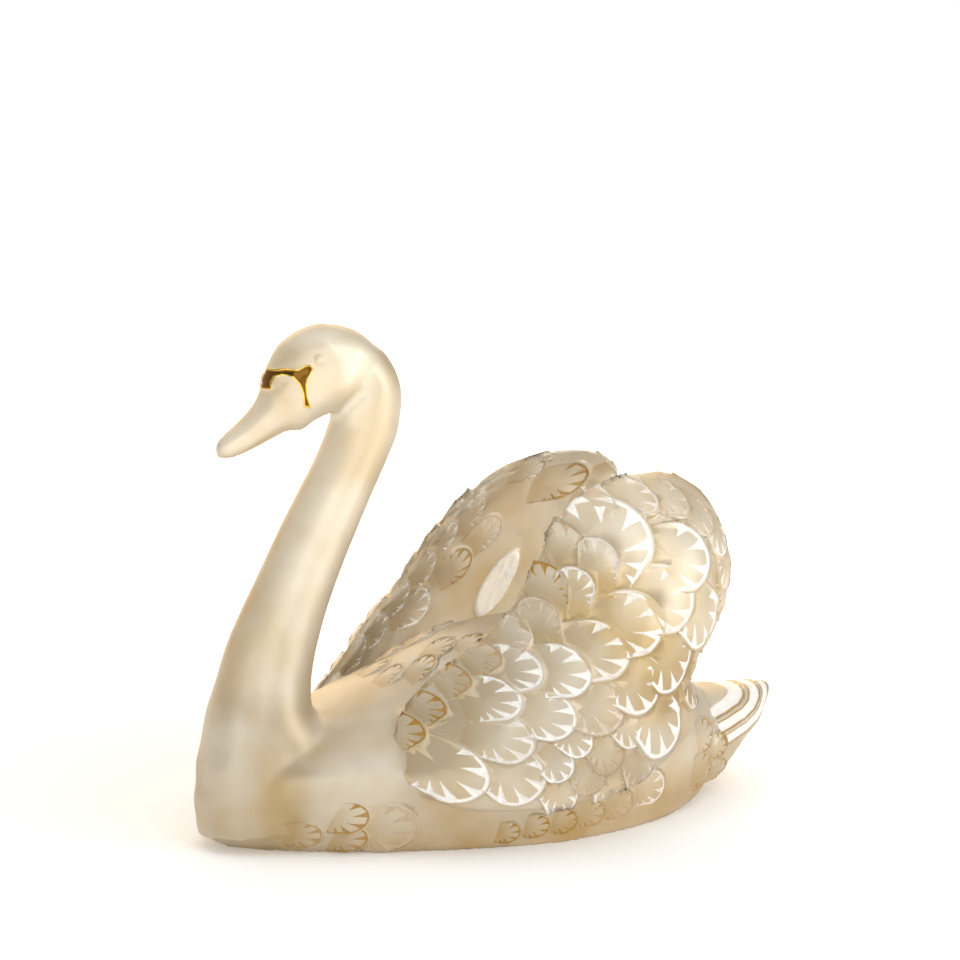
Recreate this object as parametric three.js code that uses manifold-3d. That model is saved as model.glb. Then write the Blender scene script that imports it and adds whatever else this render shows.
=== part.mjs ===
// A swan cast in one piece of crystal and finished by hand: it swims with its neck upright, its head
// bowed, both wings raised over its back like two cupped shells and its tail lifted off the base.
// Millimetres, +Z up. The swan faces -X, its left side is -Y, and it rests on its flat underside at z = 0.
// The outline is drawn by stations taken from the side and from above, and each station's numbers are
// those of a swan of the drawn sizes: they follow the real length, width and height.

import * as THREE from "three";
import Module from "manifold-3d";

// Driving sizes
const length = 300; // breast to tail tip
const width = 190; // across both wings
const height = 233.5; // table to crown

const featherRise = 2.4; // how far a feather's tip stands above the wing
const featherRoot = 3; // how deep its underside sits in the wing
const wingEdge = 5; // thickness of a wing at its rim
const wingBody = 17; // thickness of a wing at its middle
const tailTip = 153; // drawn x of the tail's end
const breastFront = -147; // drawn x of the breast's foremost point

// Mesh fineness
const detail = 0.25; // forms smaller than this are left out
const neckSides = 18;
const hullSides = 36;
const outerSteps = 11; // across a wing's outer face
const innerSteps = 7; // across its inner face
const wingLevels = 17;
const tailSides = 16;

const clamp = THREE.MathUtils.clamp;

// Stations are rows of [at, value, value, ...]. This gives the values between two rows by a cubic
// whose slope at a row never overshoots its neighbours.
function between(rows, at) {
  const last = rows.length - 1;
  const t = clamp(at, rows[0][0], rows[last][0]);
  let i = 0;
  while (i < last - 1 && t > rows[i + 1][0]) i++;
  const step = rows[i + 1][0] - rows[i][0];
  const u = (t - rows[i][0]) / step;
  const chord = (j, k) => (rows[j + 1][k] - rows[j][k]) / (rows[j + 1][0] - rows[j][0]);
  const slope = (j, k) => {
    if (j === 0) return chord(0, k);
    if (j === last) return chord(last - 1, k);
    const before = chord(j - 1, k);
    const after = chord(j, k);
    return before * after <= 0 ? 0 : (2 * before * after) / (before + after);
  };
  return rows[i].slice(1).map((_, c) => {
    const k = c + 1;
    const a = rows[i][k];
    const b = rows[i + 1][k];
    const blend = u * u * (3 - 2 * u);
    const lead = u * (1 - u) * (1 - u) * slope(i, k) * step;
    const trail = u * u * (1 - u) * slope(i + 1, k) * step;
    return a + (b - a) * blend + lead - trail;
  });
}

// A closed solid from rings of as many points each, with both ends closed by a fan.
function loft(rings) {
  const n = rings[0].length;
  const points = rings.flat();
  const ends = [rings[0], rings[rings.length - 1]].map((ring) =>
    ring.reduce((sum, p) => sum.add(p), new THREE.Vector3()).divideScalar(n),
  );
  const index = [];
  for (let r = 0; r + 1 < rings.length; r++) {
    for (let i = 0; i < n; i++) {
      const a = r * n + i;
      const b = r * n + ((i + 1) % n);
      index.push(a, b, a + n, b, b + n, a + n);
    }
  }
  const first = points.length;
  const top = (rings.length - 1) * n;
  for (let i = 0; i < n; i++) {
    const j = (i + 1) % n;
    index.push(first, j, i, first + 1, top + i, top + j);
  }
  const geometry = new THREE.BufferGeometry().setFromPoints([...points, ...ends]);
  geometry.setIndex(index);
  return geometry;
}

// Ring of a round or squarish section: centre plus two half-axes, with the power of its corners.
function ring(centre, first, second, sides, power = 2) {
  return Array.from({ length: sides }, (_, i) => {
    const angle = (2 * Math.PI * i) / sides;
    const c = Math.cos(angle);
    const s = Math.sin(angle);
    const bend = (v) => Math.sign(v) * Math.abs(v) ** (2 / power);
    return centre.clone().addScaledVector(first, bend(c)).addScaledVector(second, bend(s));
  });
}

// Body: level outlines of a boat, pointed at the breast and round at the stern.
// Rows are height, foremost x, rearmost x, half width and the x of the greatest width.
const hullLevels = [
  [0, -131, 100, 64.5, 4],
  [2, -137, 106, 66.5, 5],
  [6, -142.5, 110, 68.5, 6],
  [12, -145.5, 114, 70, 7],
  [22, breastFront, 117, 70.5, 8],
  [34, -140, 117, 69.5, 8],
  [44, -124, 113, 66.5, 8],
  [51, -109, 107, 62, 8],
  [57, -95, 100, 57.5, 8],
  [64, -76, 92, 52, 8],
  [72, -55, 84, 45, 10],
  [80, -40, 74, 36, 14],
  [87, -22, 62, 24, 19],
  [92, 2, 42, 8, 22],
];

function hullGeometry() {
  const breastPower = [4 / 3, 3 / 2]; // powers of cosine and sine in the fore half, which point it
  const levels = 14;
  const top = hullLevels[hullLevels.length - 1][0];
  return loft(
    Array.from({ length: levels }, (_, k) => {
      const z = top * (k / (levels - 1)) ** 1.6;
      const [fore, aft, half, widest] = between(hullLevels, z);
      const pointing = clamp(1 - z / 40, 0, 1);
      return Array.from({ length: hullSides }, (_, i) => {
        const angle = (2 * Math.PI * i) / hullSides;
        const c = Math.cos(angle);
        const s = Math.sin(angle);
        const power = c < 0 ? breastPower.map((p) => 1 + (p - 1) * pointing) : [1, 1];
        const reach = c < 0 ? widest - fore : aft - widest;
        return new THREE.Vector3(
          widest + Math.sign(c) * Math.abs(c) ** power[0] * reach,
          Math.sign(s) * Math.abs(s) ** power[1] * half,
          z,
        );
      });
    }),
  );
}

// Neck: rows are a running number, x and z of the centre, half depth and half width across the path.
const neckStations = [
  [0, -104, 12, 41, 33],
  [1, -107, 30, 39.5, 31.5],
  [2, -112.5, 45, 33, 29.5],
  [3, -115, 58, 25, 26],
  [4, -113.2, 73, 21.2, 22.2],
  [5, -109.7, 87, 19.8, 20.2],
  [6, -104.8, 100, 18.4, 19],
  [7, -99.2, 113, 17.1, 18.2],
  [8, -93.2, 126, 16.4, 17.6],
  [9, -86.8, 139, 15.8, 17.2],
  [10, -80, 152, 15.2, 16.9],
  [11, -73.1, 165, 14.6, 16.7],
  [12, -67.2, 177, 14.8, 16.6],
  [13, -62.8, 189, 15.6, 16.6],
  [14, -62, 200, 16.2, 16.4],
  [15, -66, 209, 16.2, 15.5],
  [16, -71, 214, 13.5, 12.5],
];

function neckGeometry() {
  const centres = neckStations.map(([, x, z]) => new THREE.Vector3(x, 0, z));
  const path = new THREE.CatmullRomCurve3(centres, false, "centripetal");
  const steps = 24;
  const side = new THREE.Vector3(0, 1, 0);
  const rings = Array.from({ length: steps + 1 }, (_, k) => {
    const share = k / steps;
    const centre = path.getPoint(share);
    const ahead = path.getTangent(share);
    const fore = new THREE.Vector3().crossVectors(side, ahead).normalize();
    const [, , depth, half] = between(neckStations, share * (neckStations.length - 1));
    return ring(centre, fore.multiplyScalar(depth), side.clone().multiplyScalar(half), neckSides);
  });
  return loft(rings);
}

// Head and bill: sections square to an axis that points forward and down.
// Rows are distance along the axis from the middle of the skull, top, bottom and half width.
const headMiddle = { x: -78, z: 211 };
const headPitch = THREE.MathUtils.degToRad(27.8);
const headStations = [
  [-23.5, -1, -6, 4],
  [-22, 3, -9, 8],
  [-18, 12, -12, 12.5],
  [-11, 19, -14, 15.8],
  [-3, 23.8, -15, 17],
  [6, 25.3, -15, 17.2],
  [14, 24.8, -13.6, 15.8],
  [20, 22, -13.2, 14.2],
  [25, 18.8, -13.6, 12.8],
  [29.5, 15.8, -11.8, 11.6],
  [33, 11, -10.2, 10.6],
  [40, 6.9, -9.6, 9.2],
  [48, 4.6, -9.1, 8],
  [56, 3.3, -8.2, 6.5],
  [62, 1.6, -6.6, 4.4],
  [65.3, -2, -4, 1.2],
];

function headGeometry() {
  const forward = new THREE.Vector3(-Math.cos(headPitch), 0, -Math.sin(headPitch));
  const upward = new THREE.Vector3(-Math.sin(headPitch), 0, Math.cos(headPitch));
  const side = new THREE.Vector3(0, 1, 0);
  const steps = 24;
  const first = headStations[0][0];
  const last = headStations[headStations.length - 1][0];
  const rings = Array.from({ length: steps + 1 }, (_, k) => {
    const share = (1 - Math.cos((Math.PI * k) / steps)) / 2;
    const at = first + (last - first) * share;
    const [top, bottom, half] = between(headStations, at);
    const centre = new THREE.Vector3(headMiddle.x, 0, headMiddle.z)
      .addScaledVector(forward, at)
      .addScaledVector(upward, (top + bottom) / 2);
    const rise = upward.clone().multiplyScalar((top - bottom) / 2);
    return ring(centre, rise, side.clone().multiplyScalar(half), neckSides, 2.1);
  });
  return loft(rings);
}

// Wing: level sections like those of a curved blade, from the rounded leading edge to the rim behind.
// Rows are height, x and y of the leading edge, x and y of the trailing edge, and how far the
// section bows outwards between them. They draw the right wing, whose y is positive.
const wingStations = [
  [21, -40, 69, 15, 74, 2],
  [25, -56, 67, 32, 74, 4],
  [31, -66, 61.5, 49, 73, 10],
  [39, -72, 54, 62, 71, 19],
  [50, -71, 44, 73, 67, 28],
  [58, -67, 39, 75, 65, 32],
  [66, -60, 37, 72, 62, 35],
  [75, -52, 39, 75, 61, 35],
  [87, -39, 45, 83, 60, 32],
  [100, -22.5, 50, 90, 60, 27],
  [113, -11.5, 51, 94, 59, 23],
  [125, -2.5, 48, 95.5, 57, 20],
  [135, 5.5, 44, 95, 53, 18],
  [143, 13, 41, 93, 48, 16],
  [150, 22.5, 39, 90.5, 39, 15],
  [156, 35, 38, 84, 34, 11],
  [159.5, 47, 37.5, 77, 33, 6],
  [161, 55, 37, 70, 34, 2],
];
const wingLow = wingStations[0][0];
const wingHigh = wingStations[wingStations.length - 1][0];
const inner = -1;
const outer = 1;
const wingEnd = 0.5; // height left out at a wing's foot and top, where its sections close
const faceEnd = 0.01; // share of the chord left out at its leading and trailing edges
const step = 0.5; // height between two points that give a face's slope

// Point on a wing at a share of the way from its leading to its trailing edge, at a height, on its
// outer or inner face.
function wingPoint(share, z, face) {
  const [x0, y0, x1, y1, bow] = between(wingStations, z);
  const chord = new THREE.Vector2(x1 - x0, y1 - y0);
  const outward = new THREE.Vector2(-chord.y, chord.x).normalize();
  const size = Math.min(1, chord.length() / 70);
  const arch = 4 * share * (1 - share);
  const rim = wingEdge * size * Math.sqrt(Math.max(0, 1 - (2 * share - 1) ** 6));
  const swell = (wingBody - wingEdge) * size * arch ** 0.9;
  const offset = arch * bow + (face * (rim + swell)) / 2;
  return new THREE.Vector3(
    x0 + chord.x * share + outward.x * offset,
    y0 + chord.y * share + outward.y * offset,
    z,
  );
}

// The same, moved out of the face by a height.
function liftedPoint(share, z, face, lift) {
  const s = clamp(share, faceEnd, 1 - faceEnd);
  const h = clamp(z, wingLow + wingEnd, wingHigh - wingEnd);
  const alongFace = wingPoint(s + faceEnd, h, face).sub(wingPoint(s - faceEnd, h, face));
  const upFace = wingPoint(s, h + step, face).sub(wingPoint(s, h - step, face));
  const normal = new THREE.Vector3().crossVectors(upFace, alongFace).normalize();
  return wingPoint(s, h, face).addScaledVector(normal, face * lift);
}

// Share of the chord at which a face passes a given x at a given height.
function shareAt(x, z, face) {
  let low = 0;
  let high = 1;
  for (let i = 0; i < 16; i++) {
    const mid = (low + high) / 2;
    if (wingPoint(mid, z, face).x < x) low = mid;
    else high = mid;
  }
  return (low + high) / 2;
}

function wingGeometry() {
  const eased = (k, steps) => (1 - Math.cos((Math.PI * k) / steps)) / 2;
  return loft(
    Array.from({ length: wingLevels }, (_, k) => {
      const level = k / (wingLevels - 1);
      const z = wingLow + (wingHigh - wingLow) * (0.7 * level + 0.3 * eased(k, wingLevels - 1));
      return [
        ...Array.from({ length: outerSteps + 1 }, (_, i) => wingPoint(eased(i, outerSteps), z, outer)),
        ...Array.from({ length: innerSteps - 1 }, (_, i) =>
          wingPoint(1 - eased(i + 1, innerSteps), z, inner),
        ),
      ];
    }),
  );
}

// Feathers lie on a face in rows, each row tucked under the one before it. A row is a strip that
// starts inside the wing, climbs to its round tips and is closed underneath. It is drawn in the
// side view: for each place along it, the line of points from its root to its tips.
function rowGeometry(face, lines) {
  const laid = ([x, z, lift]) => {
    const h = clamp(z, wingLow + wingEnd, wingHigh - wingEnd);
    return liftedPoint(shareAt(x, h, face), h, face, lift);
  };
  const sunk = ([x, z]) => laid([x, z, -featherRoot]);
  return loft(
    lines.map((line) => {
      return [...line.map(laid), sunk(line[line.length - 1]), sunk(line[0])];
    }),
  );
}

// How far a row's tips reach at a place along it: 1 in the middle of a feather, 0 between two.
const tipSamples = [0, 0.1, 0.32, 0.68, 0.9]; // places across one feather
const tipReach = (place) => Math.sqrt(Math.max(0, 1 - (2 * place - 1) ** 2));
const tipLift = (reach) => featherRise * (0.4 + 0.6 * reach);
const tipBevel = 2.6; // width of the slope round a feather's tip

// Rows of the outer face are rings round the shoulder.
// Their rows are radius, half width of a feather and length of a feather.
const shoulder = { x: -38, z: 86 };
const outerRings = [
  [15, 9.5, 13],
  [31, 11.5, 16],
  [48, 13.5, 18],
  [66, 15, 20],
  [85, 16, 21],
  [104, 15.5, 22],
  [122, 13, 18],
];
const featherSpacing = 1.8; // of half a feather's width, from one feather to the next
const ringFrom = -2.3; // angles between which the rings run, from straight towards the tail
const ringTo = 1.2;

function outerRows() {
  const rows = [];
  outerRings.forEach(([radius, half, long], row) => {
    const turn = (featherSpacing * half) / radius;
    let lines = [];
    const finish = () => {
      if (lines.length > 3) rows.push(rowGeometry(outer, lines));
      lines = [];
    };
    for (let k = 0; ringFrom + (k - 1) * turn < ringTo; k++) {
      for (const place of tipSamples) {
        const angle = ringFrom + (k - (row % 2) / 2 + place) * turn;
        const reach = tipReach(place);
        const tip = half * 1.1 * reach;
        const spots = [-long, -long / 4, tip - tipBevel, tip].map((r) => [
          shoulder.x + (radius + r) * Math.cos(angle),
          shoulder.z + (radius + r) * Math.sin(angle),
        ]);
        const [tipX, tipZ] = spots[3];
        const share = shareAt(tipX, clamp(tipZ, wingLow, wingHigh), outer);
        const onFace = tipZ > wingLow + 4 && tipZ < wingHigh - 2 && share > 0.1 && share < 0.97;
        if (!onFace || angle > ringTo) {
          finish();
          continue;
        }
        const lifts = [-0.5, 0.15 * featherRise, tipLift(reach), 0];
        lines.push(spots.map(([x, z], i) => [x, z, lifts[i]]));
      }
    }
    finish();
  });
  return rows;
}

// Rows that run up behind the leading edge, on either face. Rows are face, share of the chord where
// they start, share that the tips reach, and height of the lowest feather.
const edgeRows = [
  [inner, 0.06, 0.26, 76],
];
const edgeFeather = 16; // height of one feather of such a row
const bareTop = 6; // height left plain below a wing's top

function leadingRows() {
  return edgeRows.map(([face, root, tips, low]) => {
    const lines = [];
    for (let z0 = low; z0 + edgeFeather < wingHigh - bareTop; z0 += edgeFeather) {
      for (const place of tipSamples) {
        const z = z0 + place * edgeFeather;
        const reach = tipReach(place);
        const tip = root + (tips - root) * (0.4 + 0.6 * reach);
        const ends = [root, tip - 0.03, tip];
        const lifts = [-0.5, tipLift(reach), 0];
        lines.push(ends.map((share, i) => [wingPoint(share, z, face).x, z, lifts[i]]));
      }
    }
    return rowGeometry(face, lines);
  });
}

// Tail: rows are x, z of its middle, half height and half width.
const tailStations = [
  [60, 22, 22, 40],
  [84, 23, 23, 42],
  [100, 23.7, 23.5, 38],
  [112, 26, 21.5, 32.5],
  [120, 28.5, 18.5, 28],
  [129, 32.5, 14, 23.5],
  [138, 36, 10.5, 18.5],
  [144, 39.5, 7, 13],
  [149, 42, 4.2, 8],
  [152, 43, 2.2, 4.5],
  [tailTip, 43.2, 0.8, 1.5],
];

function tailGeometry() {
  const steps = 13;
  const first = tailStations[0][0];
  return loft(
    Array.from({ length: steps + 1 }, (_, k) => {
      const x = first + (tailTip - first) * Math.sin((Math.PI / 2) * (k / steps));
      const [z, tall, half] = between(tailStations, x);
      const middlePoint = new THREE.Vector3(x, 0, z);
      return ring(middlePoint, new THREE.Vector3(0, half, 0), new THREE.Vector3(0, 0, tall), tailSides, 2.3);
    }),
  );
}

const wasm = await Module();
wasm.setup();

function solidOf(geometry) {
  const triVerts = new Uint32Array(geometry.index.array);
  const vertProperties = geometry.attributes.position.array;
  const solid = new wasm.Manifold(new wasm.Mesh({ numProp: 3, vertProperties, triVerts }));
  if (solid.volume() >= 0) return solid;
  triVerts.reverse();
  return new wasm.Manifold(new wasm.Mesh({ numProp: 3, vertProperties, triVerts }));
}

function geometryOf(solid) {
  const mesh = solid.getMesh();
  const geometry = new THREE.BufferGeometry();
  geometry.setAttribute("position", new THREE.BufferAttribute(mesh.vertProperties, 3));
  geometry.setIndex(new THREE.BufferAttribute(mesh.triVerts, 1));
  geometry.computeVertexNormals();
  return geometry;
}

// The drawn form brought to the named sizes, over the middle of its base.
function toSize(solid) {
  const { min, max } = solid.boundingBox();
  const scale = [length / (max[0] - min[0]), width / (max[1] - min[1]), height / (max[2] - min[2])];
  return solid.translate([-(min[0] + max[0]) / 2, 0, -min[2]]).scale(scale);
}

function swanMesh() {
  const wing = [wingGeometry(), ...outerRows(), ...leadingRows()]
    .map(solidOf)
    .reduce((sum, solid) => sum.add(solid));
  const trunk = [hullGeometry(), neckGeometry(), headGeometry(), tailGeometry()]
    .map(solidOf)
    .reduce((sum, solid) => sum.add(solid));
  const whole = trunk.add(wing).add(wing.mirror([0, 1, 0])).simplify(detail);
  const crystal = new THREE.MeshStandardMaterial({ color: 0xe2d6c2, roughness: 0.45, metalness: 0 });
  const mesh = new THREE.Mesh(geometryOf(toSize(whole)), crystal);
  mesh.name = "swan";
  return mesh;
}

const swan = new THREE.Group();
swan.add(swanMesh());
export default swan;
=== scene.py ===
# A swan cast in satin crystal, with polished cuts in its feathers and gold at the root of its bill.
# The swan faces -X, +Z is up, its middle line is y = 0 and it stands on its flat underside at z = 0.

import math

import bmesh
import bpy
import numpy as np
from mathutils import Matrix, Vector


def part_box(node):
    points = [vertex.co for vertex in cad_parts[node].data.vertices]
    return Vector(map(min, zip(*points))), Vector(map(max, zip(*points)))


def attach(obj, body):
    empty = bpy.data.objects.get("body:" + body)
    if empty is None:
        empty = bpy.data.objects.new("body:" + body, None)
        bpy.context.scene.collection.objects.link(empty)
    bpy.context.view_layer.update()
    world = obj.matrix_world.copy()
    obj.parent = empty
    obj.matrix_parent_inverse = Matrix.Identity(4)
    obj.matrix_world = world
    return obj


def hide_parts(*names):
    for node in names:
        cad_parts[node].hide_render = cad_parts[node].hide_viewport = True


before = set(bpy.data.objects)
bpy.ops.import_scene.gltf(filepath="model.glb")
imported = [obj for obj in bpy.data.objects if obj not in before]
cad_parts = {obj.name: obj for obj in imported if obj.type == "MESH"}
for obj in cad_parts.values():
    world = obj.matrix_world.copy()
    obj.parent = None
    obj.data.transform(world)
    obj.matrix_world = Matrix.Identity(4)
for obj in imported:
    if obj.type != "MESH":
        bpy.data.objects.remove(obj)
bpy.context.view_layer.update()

# Body: a boat-shaped bowl of crystal, pointed below the breast and flat underneath. The real swan is
# one casting, pressed in a mould, so body, neck, head, tail and wings are drawn one by one here and
# then become one skin. Lengths are millimetres.
# Rows of hull_levels: height, front end, rear end, half width, where it is widest.
hull_levels = [
    [0, -131, 100, 64.5, 4], [2, -137, 106, 66.5, 5], [6, -142.5, 110, 68.5, 6],
    [12, -145.5, 114, 70, 7], [22, -147, 117, 70.5, 8], [34, -140, 117, 69.5, 8],
    [44, -124, 113, 66.5, 8], [51, -109, 107, 62, 8], [57, -95, 100, 57.5, 8], [64, -76, 92, 52, 8],
    [72, -55, 84, 45, 10], [80, -40, 74, 36, 14], [87, -22, 62, 24, 19], [92, 2, 42, 8, 22],
]
hull_top = 92.0
pointed_up_to = 40  # height above which the outlines are plain ellipses
mm = 0.001  # in metres


def between(rows, at):
    """Values of a table at places between its rows. On each span of length h from value p to q, with
    end slopes a and b: p + (q - p) u²(3 - 2u) + h a u(1 - u)² - h b u²(1 - u). A slope is twice the
    product of the neighbouring chords' slopes over their sum, and 0 where they differ in sign."""
    rows = np.asarray(rows, float)
    keys, values = rows[:, 0], rows[:, 1:]
    chord = np.diff(values, axis=0) / np.diff(keys)[:, None]
    before, after = chord[:-1], chord[1:]
    total = before + after
    inner_slope = np.where(before * after > 0, 2 * before * after / np.where(total == 0, 1, total), 0)
    slope = np.vstack([chord[:1], inner_slope, chord[-1:]])
    at = np.clip(np.asarray(at, float), keys[0], keys[-1])
    i = np.clip(np.searchsorted(keys, at, side="right") - 1, 0, len(keys) - 2)
    span = (keys[i + 1] - keys[i])[..., None]
    u = (at - keys[i])[..., None] / span
    lead = u * (1 - u) ** 2 * slope[i] * span
    trail = u * u * (1 - u) * slope[i + 1] * span
    return values[i] + (values[i + 1] - values[i]) * u * u * (3 - 2 * u) + lead - trail


def closed_form(name, rings):
    """Object from a grid of closed rings: four-sided faces between neighbouring rings, and a fan to
    the middle of the first and the last ring. The faces are turned where the volume, a sixth of the
    sum of a · (b × c) over the triangles, comes out below 0."""
    count, n = rings.shape[:2]
    grid = np.arange(count * n).reshape(count, n)
    following = np.roll(grid, -1, axis=1)
    quads = np.stack([grid[:-1], following[:-1], following[1:], grid[1:]], axis=-1).reshape(-1, 4)
    first = np.stack([following[0], grid[0], np.full(n, count * n)], axis=-1)
    last = np.stack([grid[-1], following[-1], np.full(n, count * n + 1)], axis=-1)
    middles = np.stack([rings[0].mean(axis=0), rings[-1].mean(axis=0)])
    points = np.vstack([rings.reshape(-1, 3), middles])
    triangles = np.vstack([quads[:, :3], quads[:, [0, 2, 3]], first, last])
    a, b, c = np.moveaxis(points[triangles], 1, 0)
    turned = -1 if (a * np.cross(b, c)).sum() < 0 else 1
    faces = quads[:, ::turned].tolist() + first[:, ::turned].tolist() + last[:, ::turned].tolist()
    mesh = bpy.data.meshes.new(name)
    mesh.from_pydata((points * mm).tolist(), [], faces)
    made = bpy.data.objects.new(name, mesh)
    bpy.context.collection.objects.link(made)
    return made


def hull_powers(z):
    """Powers of cosine and sine that point the fore half: 4/3 and 3/2 at the underside, and both
    falling evenly to 1, a plain ellipse, at z = 40."""
    pointing = np.clip(1 - z / pointed_up_to, 0, 1)
    return 1 + pointing / 3, 1 + pointing / 2


def hull_rings(levels, sides):
    """Level outlines: x = widest + reach · cos(t)^p and y = half width · sin(t)^q, where reach is the
    distance from the widest place to the front or rear end, at heights top · k^1.6."""
    z = hull_top * np.linspace(0, 1, levels) ** 1.6
    fore, aft, half, widest = between(hull_levels, z).T[..., None]
    t = np.linspace(0, 2 * math.pi, sides, endpoint=False)[None]
    c, s = np.cos(t), np.sin(t)
    p, q = hull_powers(z[:, None])
    p, q = np.where(c < 0, p, 1), np.where(c < 0, q, 1)
    reach = np.where(c < 0, widest - fore, aft - widest)
    x = widest + np.sign(c) * abs(c) ** p * reach
    y = np.sign(s) * abs(s) ** q * half
    return np.stack([x, y, np.broadcast_to(z[:, None], x.shape)], axis=-1)


forms = [closed_form("swan_crystal", hull_rings(60, 120))]

# Neck: a smooth rising column, deep and keeled where it grows out of the breast, and round and slim
# above. It was drawn out with the body in the same casting.
# Rows of neck_stations: number, x and z of the middle line, half depth fore and aft, half width.
neck_stations = [
    [0, -104, 12, 41, 33], [1, -107, 30, 39.5, 31.5], [2, -112.5, 45, 33, 29.5],
    [3, -115, 58, 25, 26], [4, -113.2, 73, 21.2, 22.2], [5, -109.7, 87, 19.8, 20.2],
    [6, -104.8, 100, 18.4, 19], [7, -99.2, 113, 17.1, 18.2], [8, -93.2, 126, 16.4, 17.6],
    [9, -86.8, 139, 15.8, 17.2], [10, -80, 152, 15.2, 16.9], [11, -73.1, 165, 14.6, 16.7],
    [12, -67.2, 177, 14.8, 16.6], [13, -62.8, 189, 15.6, 16.6], [14, -62, 200, 16.2, 16.4],
    [15, -66, 209, 16.2, 15.5], [16, -71, 214, 13.5, 12.5],
]
sideways = np.array([0.0, 1.0, 0.0])


def unit(v):
    """Vectors brought to length 1: v / |v|."""
    return v / np.maximum(np.linalg.norm(v, axis=-1, keepdims=True), 1e-9)


def section_rings(centre, first, second, sides, power):
    """Rings round a row of centres: centre + first · cos(t)^(2/p) + second · sin(t)^(2/p). A power p
    of 2 gives ellipses, and a higher one fuller corners."""
    t = np.linspace(0, 2 * math.pi, sides, endpoint=False)
    c, s = np.cos(t), np.sin(t)
    c, s = np.sign(c) * abs(c) ** (2 / power), np.sign(s) * abs(s) ** (2 / power)
    return centre[:, None] + c[None, :, None] * first[:, None] + s[None, :, None] * second[:, None]


def neck_rings(steps, sides):
    """Ellipses square to the middle line, from inside the breast to inside the head."""
    x, z, depth, half = between(neck_stations, np.linspace(0, neck_stations[-1][0], steps)).T
    centre = np.stack([x, 0 * x, z], axis=-1)
    ahead = unit(np.gradient(centre, axis=0))
    fore = np.cross(sideways[None], ahead)
    return section_rings(centre, fore * depth[:, None], sideways * half[:, None], sides, 2.0)


forms.append(closed_form("neck", neck_rings(90, 56)))

# Head and bill: a round skull that runs down into a long bill with a knob at its root. They are part
# of the casting, and their axis dips by 27.8 degrees.
# Rows of head_stations: place along the axis, top and bottom above it, half width.
head_stations = [
    [-23.5, -1, -6, 4], [-22, 3, -9, 8], [-18, 12, -12, 12.5], [-11, 19, -14, 15.8],
    [-3, 23.8, -15, 17], [6, 25.3, -15, 17.2], [14, 24.8, -13.6, 15.8], [20, 22, -13.2, 14.2],
    [25, 18.8, -13.6, 12.8], [29.5, 15.8, -11.8, 11.6], [33, 11, -10.2, 10.6], [40, 6.9, -9.6, 9.2],
    [48, 4.6, -9.1, 8], [56, 3.3, -8.2, 6.5], [62, 1.6, -6.6, 4.4], [65.3, -2, -4, 1.2],
]
head_back, head_length, head_power = -23.5, 88.8, 2.1
head_middle = np.array([-78.0, 0.0, 211.0])
head_dip = math.radians(27.8)
head_forward = np.array([-math.cos(head_dip), 0, -math.sin(head_dip)])
head_upward = np.array([-math.sin(head_dip), 0, math.cos(head_dip)])


def head_rings(steps, sides):
    """Sections square to the head's axis, closest together at its two ends: the places are
    back + length · (1 - cos(t)) / 2 for t from 0 to pi."""
    at = head_back + head_length * (1 - np.cos(np.linspace(0, math.pi, steps))) / 2
    top, bottom, half = between(head_stations, at).T[..., None]
    centre = head_middle + at[:, None] * head_forward + (top + bottom) / 2 * head_upward
    tall = (top - bottom) / 2 * head_upward
    return section_rings(centre, tall, half * sideways, sides, head_power)


forms.append(closed_form("head", head_rings(90, 64)))

# Tail: a short upswept wedge behind the body, cast with it. It is deep where it leaves the body and
# ends in a thin rounded tip.
# Rows of tail_stations: x, z of the middle line, half height, half width.
tail_stations = [
    [60, 22, 22, 40], [84, 23, 23, 42], [100, 23.7, 23.5, 38], [112, 26, 21.5, 32.5],
    [120, 28.5, 18.5, 28], [129, 32.5, 14, 23.5], [138, 36, 10.5, 18.5], [144, 39.5, 7, 13],
    [149, 42, 4.2, 8], [152, 43, 2.2, 4.5], [153, 43.2, 0.8, 1.5],
]
tail_root, tail_length, tail_power = 60, 93, 2.3
upright = np.array([0.0, 0.0, 1.0])


def tail_rings(steps, sides):
    """Upright sections at x = root + length · sin(t) for t from 0 to pi / 2."""
    x = tail_root + tail_length * np.sin(np.linspace(0, math.pi / 2, steps))
    z, tall, half = between(tail_stations, x).T
    centre = np.stack([x, 0 * x, z], axis=-1)
    wide = half[:, None] * sideways
    return section_rings(centre, wide, tall[:, None] * upright, sides, tail_power)


forms.append(closed_form("tail", tail_rings(50, 48)))

# Wings: two raised blades that grow out of the body's sides and cup the hollow over the back. They
# are pressed with the body, thick in the middle and thin at the rim.
# Rows of wing_stations: height, x and y of the front edge, x and y of the rear edge, outward bow.
wing_stations = [
    [21, -40, 69, 15, 74, 2], [25, -56, 67, 32, 74, 4], [31, -66, 61.5, 49, 73, 10],
    [39, -72, 54, 62, 71, 19], [50, -71, 44, 73, 67, 28], [58, -67, 39, 75, 65, 32],
    [66, -60, 37, 72, 62, 35], [75, -52, 39, 75, 61, 35], [87, -39, 45, 83, 60, 32],
    [100, -22.5, 50, 90, 60, 27], [113, -11.5, 51, 94, 59, 23], [125, -2.5, 48, 95.5, 57, 20],
    [135, 5.5, 44, 95, 53, 18], [143, 13, 41, 93, 48, 16], [150, 22.5, 39, 90.5, 39, 15],
    [156, 35, 38, 84, 34, 11], [159.5, 47, 37.5, 77, 33, 6], [161, 55, 37, 70, 34, 2],
]
wing_low, wing_high = 21.0, 161.0
wing_edge, wing_body = 5.0, 17.0  # thickness at the rim and in the middle
full_chord = 70  # a shorter one makes the blade thinner in step
outer, inner = 1.0, -1.0


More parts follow.
